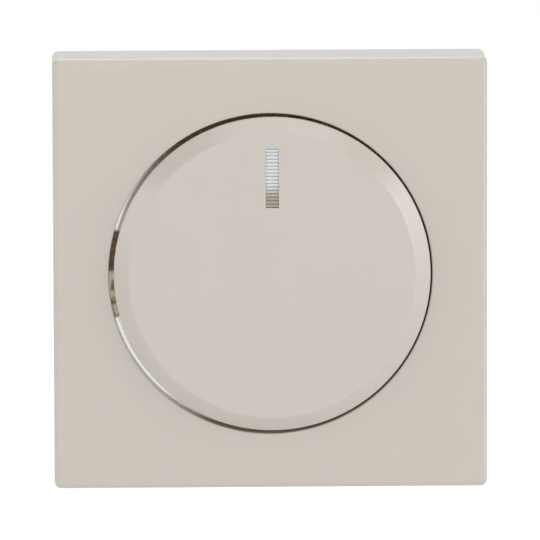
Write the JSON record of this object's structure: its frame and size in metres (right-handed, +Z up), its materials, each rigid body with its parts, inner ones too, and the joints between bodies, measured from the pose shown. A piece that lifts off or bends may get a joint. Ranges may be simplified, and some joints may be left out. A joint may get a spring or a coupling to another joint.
{
  "type": "rotary dimmer switch",
  "caption": "Square wall dimmer module with a large chamfered turn-and-push knob, a clear pointer window and a full mechanism behind the plate.",
  "frame": {"origin": "where the knob's axis meets the rear face of the flange, which rests on the support frame", "axes": "+Y into the wall along the knob's axis, +X right and +Z up seen from the front, which faces -Y"},
  "size_m": [0.0448, 0.0365, 0.0448],
  "materials": {
    "beige_cover": "smooth gloss moulding",
    "beige_knob": "smooth satin-gloss moulding",
    "clear_guide": "clear polished light guide plastic",
    "clear_ring": "clear plastic, part frosted",
    "dark_moulding": "dark brown moulding",
    "spring_steel": "bright rolled strip and wire",
    "turned_steel": "turned",
    "nickel_brass": "nickel plated",
    "phenolic": "moulded phenolic",
    "carbon_track": "screened carbon",
    "contact_bronze": "stamped",
    "contact_silver": "silver faced",
    "tinned_copper": "tinned",
    "grey_housing": "fine spark-eroded texture",
    "grey_drawer": "fine texture",
    "plated_screws": "zinc plated",
    "board_laminate": "solder mask",
    "lamp_lens": "tinted epoxy",
    "white_moulding": "moulded",
    "chip_epoxy": "moulded epoxy",
    "sink_aluminium": "rolled sheet",
    "iron_powder": "painted iron powder",
    "enamelled_wire": "enamelled copper",
    "capacitor_box": "boxed film capacitor",
    "capacitor_sleeve": "shrink sleeve",
    "resistor_lacquer": "lacquer",
    "fuse_glass": "drawn glass",
    "fuse_glass_tinted": "glass body",
    "cage_steel": "zinc plated"
  },
  "bodies": {
    "housing": {"bush_nut": "nickel_brass", "bush_washer": "nickel_brass", "choke_core": "iron_powder", "choke_winding": "enamelled_wire", "circuit_board": "board_laminate", "control_chip": "chip_epoxy", "cover_plate": "beige_cover", "electrolytic_capacitor": "capacitor_sleeve", "film_capacitor": "capacitor_box", "fixed_contacts": "contact_silver", "front_housing": "grey_housing", "fuse_contacts": "contact_bronze", "heat_sink": "sink_aluminium", "housing_screws": "plated_screws", "indicator_lamp": "lamp_lens", "lamp_leads": "tinned_copper", "light_ring": "clear_ring", "pot_bush": "nickel_brass", "pot_housing": "phenolic", "pot_terminals": "tinned_copper", "pot_track": "carbon_track", "push_spring": "spring_steel", "rear_housing": "grey_housing", "resistors": "resistor_lacquer", "switch_base": "phenolic", "switch_case": "phenolic", "terminal_bars": "contact_bronze", "terminal_block": "white_moulding", "triac": "chip_epoxy", "triac_leads": "tinned_copper", "triac_screw": "plated_screws", "trigger_diode": "fuse_glass_tinted"},
    "rotor": {"pot_rotor": "phenolic", "pot_wiper": "contact_bronze"},
    "knob": {"knob_cap": "beige_knob", "light_guide": "clear_guide", "knob_hub": "dark_moulding", "hub_grip_ring": "spring_steel", "pot_shaft": "turned_steel", "shaft_clip": "spring_steel"},
    "plunger": {"switch_plunger": "white_moulding", "moving_contact": "contact_bronze"},
    "fuse_carrier": {"fuse_drawer": "grey_drawer", "fuse_tube": "fuse_glass", "fuse_caps": "nickel_brass"},
    "left_latch": {"latch_left": "spring_steel"},
    "right_latch": {"latch_right": "spring_steel"},
    "clamp_1": {"terminal_cage_1": "cage_steel"},
    "clamp_screw_1": {"terminal_screw_1": "plated_screws"},
    "clamp_2": {"terminal_cage_2": "cage_steel"},
    "clamp_screw_2": {"terminal_screw_2": "plated_screws"},
    "clamp_3": {"terminal_cage_3": "cage_steel"},
    "clamp_screw_3": {"terminal_screw_3": "plated_screws"}
  },
  "joints": [
    {"name": "knob_turn", "type": "hinge", "parent": "housing", "child": "rotor", "pos_m": [0, 0, 0], "axis": [0, 1, 0], "range_deg": [-140, 140]},
    {"name": "knob_push", "type": "slide", "parent": "rotor", "child": "knob", "axis": [0, 1, 0], "range_m": [0, 0.0015], "stiffness_N_per_m": 1500, "springref_m": -0.002, "deforming": ["push_spring"]},
    {"name": "switch_throw", "type": "slide", "parent": "housing", "child": "plunger", "axis": [0, 1, 0], "range_m": [0, 0.0015]},
    {"name": "fuse_slide", "type": "slide", "parent": "housing", "child": "fuse_carrier", "axis": [1, 0, 0], "range_m": [0, 0.02]},
    {"name": "screw_turn_1", "type": "hinge", "parent": "housing", "child": "clamp_screw_1", "pos_m": [-0.0115, 0.0222, -0.0145], "axis": [0, 0, 1], "range_deg": [0, 1585]},
    {"name": "clamp_lift_1", "type": "slide", "parent": "housing", "child": "clamp_1", "axis": [0, 0, -1], "range_m": [0, 0.0022]},
    {"name": "screw_turn_2", "type": "hinge", "parent": "housing", "child": "clamp_screw_2", "pos_m": [-0.004, 0.0222, -0.0145], "axis": [0, 0, 1], "range_deg": [0, 1585]},
    {"name": "clamp_lift_2", "type": "slide", "parent": "housing", "child": "clamp_2", "axis": [0, 0, -1], "range_m": [0, 0.0022]},
    {"name": "screw_turn_3", "type": "hinge", "parent": "housing", "child": "clamp_screw_3", "pos_m": [0.0035, 0.0222, -0.0145], "axis": [0, 0, 1], "range_deg": [0, 1585]},
    {"name": "clamp_lift_3", "type": "slide", "parent": "housing", "child": "clamp_3", "axis": [0, 0, -1], "range_m": [0, 0.0022]},
    {"name": "left_latch_flex", "type": "hinge", "parent": "housing", "child": "left_latch", "pos_m": [-0.0205, 0.0145, 0], "axis": [0, 0, 1], "range_deg": [0, 6.5], "stiffness_Nm_per_rad": 0.5, "springref_deg": -1.72},
    {"name": "right_latch_flex", "type": "hinge", "parent": "housing", "child": "right_latch", "pos_m": [0.0205, 0.0145, 0], "axis": [0, 0, -1], "range_deg": [0, 6.5], "stiffness_Nm_per_rad": 0.5, "springref_deg": -1.72}
  ],
  "couplings": [
    {"joint": "switch_throw", "follows": "knob_push", "ratio": 1},
    {"joint": "screw_turn_1", "follows": "clamp_lift_1", "rad_per_m": 12566},
    {"joint": "screw_turn_2", "follows": "clamp_lift_2", "rad_per_m": 12566},
    {"joint": "screw_turn_3", "follows": "clamp_lift_3", "rad_per_m": 12566}
  ]
}
